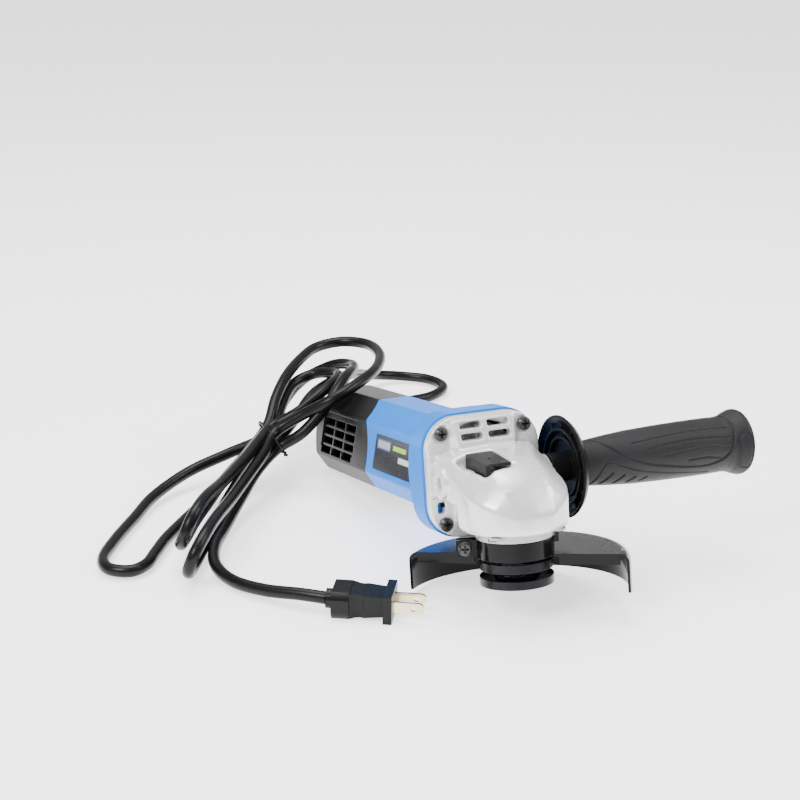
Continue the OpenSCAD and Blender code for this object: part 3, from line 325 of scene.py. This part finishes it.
def make_tie():
    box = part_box("cord_tie")
    centre = (Vector(box[0]) + Vector(box[1])) / 2
    side, rise = Vector((1, 0, 0)), Vector((0, math.cos(math.radians(121)), math.sin(math.radians(121))))
    along = side.cross(rise)
    half, r = 0.0076, 0.0088
    points = []
    for k in range(49):
        turn = math.radians(-50 + k * 360 / 48)
        bulge = half if math.cos(turn) > 0 else -half
        points.append(centre + side * (bulge * min(1, abs(math.cos(turn)) * 3) + r * math.cos(turn))
                      + rise * r * math.sin(turn) + along * 0.0004 * math.sin(3 * turn))
    knot = points[0]
    tail = [knot + side * (0.0006 * k * 0.6) - rise * 0.0005 * k + along * 0.0009 * math.sin(k * 1.6)
            for k in range(1, 8)]
    curve = bpy.data.curves.new("wire_tie", "CURVE")
    curve.dimensions = "3D"
    curve.bevel_depth = 0.0009
    curve.bevel_resolution = 3
    curve.use_fill_caps = True
    spline = curve.splines.new("POLY")
    line = points + tail
    spline.points.add(len(line) - 1)
    for point, co in zip(spline.points, line):
        point.co = (*co, 1)
    ob = bpy.data.objects.new("wire_tie", curve)
    bpy.context.scene.collection.objects.link(ob)
    curve.materials.append(MATS["jacket"])
    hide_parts("cord_tie")
    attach(ob, "housing")
    return ob


def make_cord():
    points = catmull([CORD_EXIT] + [Vector(p) / 1000 for p in ROUTE] + [PLUG_AT], 8)
    curve = bpy.data.curves.new("mains_lead", "CURVE")
    curve.dimensions = "3D"
    curve.bevel_depth = 0.0037
    curve.bevel_resolution = 5
    curve.use_fill_caps = True
    spline = curve.splines.new("POLY")
    spline.points.add(len(points) - 1)
    for point, co in zip(spline.points, points):
        point.co = (*co, 1)
    ob = bpy.data.objects.new("mains_lead", curve)
    bpy.context.scene.collection.objects.link(ob)
    curve.materials.append(MATS["jacket"])
    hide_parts("cord")
    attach(ob, "housing")
    make_tie()


make_cord()


# ---------------------------------------------------------------- handle grip
GRIP_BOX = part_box("handle_grip")
GRIP_AXIS = Vector(((GRIP_BOX[0][0] + GRIP_BOX[1][0]) / 2, 0, (GRIP_BOX[0][2] + GRIP_BOX[1][2]) / 2))
GRIP_START, GRIP_END = GRIP_BOX[0][1], GRIP_BOX[1][1]
GRIP_LEN = GRIP_END - GRIP_START
GRIP_PROFILE = [  # distance along the grip from the hand stop, radius, mm
    (0, 12.75), (6, 13.35), (18, 14.55), (32, 15.65), (50, 16.25), (68, 16.55), (84, 16.55), (92, 16.35),
    (96.5, 16.85), (100, 18.35), (103.5, 19.5), (105, 19.55), (106.7, 18.95), (108, 17.2),
]
# incised lines, each point (mm along the grip, degrees round it)
LEAF = [(6, 108), (9, 90), (14, 66), (20, 44), (27, 28), (38, 13), (51, 3), (65, -6), (77, -8),
        (86, 0), (92, 16),
        (95, 42), (96, 74), (94, 112)]
FLUTES = [[(29, 61), (48, 66), (70, 69), (92, 66)], [(38, 43), (54, 49), (72, 50), (92, 45)],
          [(49, 26), (64, 30), (78, 31), (91, 24)], [(64, 10), (76, 11), (87, 4)]]
HEEL = [(3, -36), (6, -8), (10, 22), (15, 26), (22, 14), (31, 2), (42, -8), (52, -15), (66, -23), (79, -31)]
TEETH = [[(9, -34), (15, 0)], [(17.5, -34), (22.5, -8)], [(26, -32), (30, -15)], [(34, -30), (37.5, -20)]]
DIMPLE = [(97.8, -2), (99, -16), (102.5, -21), (105, -12), (105, 34), (102, 47), (98.8, 42),
          (97.8, 20), (97.8, -2)]


def profile_radius(profile, along):
    for (a, ra), (b, rb) in zip(profile, profile[1:]):
        if along <= b:
            return ra + (rb - ra) * (along - a) / (b - a)
    return profile[-1][1]


def resample(line, step, radius=16):
    """Points every step mm along a line given as (mm along, degrees round)."""
    smooth = [(p.x, p.y) for p in catmull([Vector((x, y, 0)) for x, y in line], 12)]
    out = [smooth[0]]
    for point in smooth:
        gap = math.hypot(point[0] - out[-1][0], math.radians(point[1] - out[-1][1]) * radius)
        if gap >= step:
            out.append(point)
    return out


def make_grip():
    sides, rings = 288, 300
    depth = {}

    def carve(line, width, cut):
        for along, turn in resample(line, 0.35):
            ring = round(along / (GRIP_LEN * 1000) * rings)
            for i in range(max(0, ring - 5), min(rings, ring + 5) + 1):
                here = GRIP_LEN * 1000 * i / rings
                side = round((turn % 360) / 360 * sides)
                for k in range(side - 5, side + 6):
                    off = math.radians(k * 360 / sides - turn % 360) * 16
                    gap = math.hypot(here - along, off) / width
                    if gap < 1:
                        key = (i, k % sides)
                        depth[key] = max(depth.get(key, 0), cut * (1 - gap * gap))

    for half in (0, 180):
        carve([(x, y + half) for x, y in LEAF], 1.0, 0.9)
        carve([(x, y + half) for x, y in HEEL], 0.75, 0.6)
        carve([(x, y + half) for x, y in DIMPLE], 0.8, 0.7)
        for line in FLUTES:
            carve([(x, y + half) for x, y in line], 0.9, 0.65)
        for line in TEETH:
            carve([(x, y + half) for x, y in line], 1.0, 0.9)
    bm = bmesh.new()
    loops = []
    for i in range(rings + 1):
        along = GRIP_LEN * 1000 * i / rings
        radius = profile_radius(GRIP_PROFILE, along)
        ring = []
        for k in range(sides):
            turn = math.radians(k * 360 / sides) - TILT
            r = (radius - depth.get((i, k), 0)) / 1000
            ring.append(bm.verts.new((GRIP_AXIS.x + r * math.cos(turn), GRIP_START + along / 1000,
                                      GRIP_AXIS.z + r * math.sin(turn))))
        loops.append(ring)
    for inner, shift in ((15.6, 0), (14.6, -0.4), (9.5, -0.6), (8.2, -1.4), (8.0, -7)):
        loops.append([bm.verts.new((GRIP_AXIS.x + inner / 1000 * math.cos(math.radians(k * 360 / sides)),
                                    GRIP_END + shift / 1000,
                                    GRIP_AXIS.z + inner / 1000 * math.sin(math.radians(k * 360 / sides))))
                      for k in range(sides)])
    for low, high in zip(loops, loops[1:]):
        for k in range(sides):
            bm.faces.new((low[k], low[(k + 1) % sides], high[(k + 1) % sides], high[k]))
    bm.faces.new(loops[-1])
    bm.faces.new(loops[0][::-1])
    bmesh.ops.recalc_face_normals(bm, faces=bm.faces)
    place(bm, "moulded_grip", "handle_grip", "side_handle", "rubber")


def place(bm, name, node, body, finish):
    mesh = bpy.data.meshes.new(name)
    bm.to_mesh(mesh)
    bm.free()
    mesh.shade_smooth()
    mesh.set_sharp_from_angle(angle=math.radians(50))
    ob = bpy.data.objects.new(name, mesh)
    bpy.context.scene.collection.objects.link(ob)
    mesh.materials.append(MATS[finish])
    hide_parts(node)
    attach(ob, body)
    return ob


make_grip()


# ---------------------------------------------------------------- softened castings
def soften(node, name, body, finish, voxel, steps):
    """A cast part's own shape with its edges worn round: steps(point) is how many passes."""
    source = NODES[node]
    mesh = source.data.copy()
    ob = bpy.data.objects.new(name + "_cut", mesh)
    bpy.context.scene.collection.objects.link(ob)
    remesh = ob.modifiers.new("remesh", "REMESH")
    remesh.mode, remesh.voxel_size, remesh.adaptivity = "VOXEL", voxel, 0
    depsgraph = bpy.context.evaluated_depsgraph_get()
    bm = bmesh.new()
    bm.from_mesh(ob.evaluated_get(depsgraph).to_mesh())
    bpy.data.objects.remove(ob)
    bpy.data.meshes.remove(mesh)
    groups = {}
    for vert in bm.verts:
        groups.setdefault(steps(vert.co), []).append(vert)
    for passes in range(max(groups)):
        chosen = [v for count, verts in groups.items() if count > passes for v in verts]
        bmesh.ops.smooth_vert(bm, verts=chosen, factor=0.5, use_axis_x=True, use_axis_y=True,
                              use_axis_z=True)
    return place(bm, name, node, body, finish)


def case_passes(co):
    p = TOOL.inverted() @ co
    if p.x > -0.006 and p.z > 0 and (p.x > 0.004 or abs(p.y) > 0.012):
        return 70
    return 20 if p.x > -0.024 and (p.x > -0.004 or p.z > 0.004) else 2


soften("gear_case", "cast_gear_case", "housing", "silver", 0.0007, case_passes)


# ---------------------------------------------------------------- stage
def make_stage():
    mesh = bpy.data.meshes.new("floor")
    mesh.from_pydata([(-14, -14, 0), (14, -14, 0), (14, 14, 0), (-14, 14, 0)], [], [(0, 1, 2, 3)])
    ob = bpy.data.objects.new("floor", mesh)
    ob.location.z = FLOOR - 0.0001
    bpy.context.scene.collection.objects.link(ob)
    g = Graph("floor")
    g.set(Roughness=0.75, Emission_Color=(1, 1, 1, 1), Emission_Strength=1.5)
    g.link(g.ramp(g.noise(6, 2), (0.95, 0.95, 0.95), (0.97, 0.97, 0.97)), g.bsdf.inputs["Base Color"])
    mesh.materials.append(g.mat)
    world = bpy.data.worlds.new("studio")
    bpy.context.scene.world = world
    world.use_nodes = True
    world.node_tree.nodes["Background"].inputs["Color"].default_value = (1, 1, 1, 1)
    world.node_tree.nodes["Background"].inputs["Strength"].default_value = 0.6
    for name, at, size, power in (("key", (0.4, -1.0, 1.1), 0.6, 22), ("fill", (0.3, 1.2, 1.0), 0.8, 14),
                                  ("top", (-0.5, 0.0, 1.5), 1.1, 30)):
        light = bpy.data.lights.new(name, "AREA")
        light.shape, light.size, light.energy = "SQUARE", size, power
        lamp = bpy.data.objects.new(name, light)
        lamp.location = at
        aim = Vector((-0.08, 0, 0)) - Vector(at)
        lamp.rotation_euler = aim.to_track_quat("-Z", "Y").to_euler()
        bpy.context.scene.collection.objects.link(lamp)


make_stage()
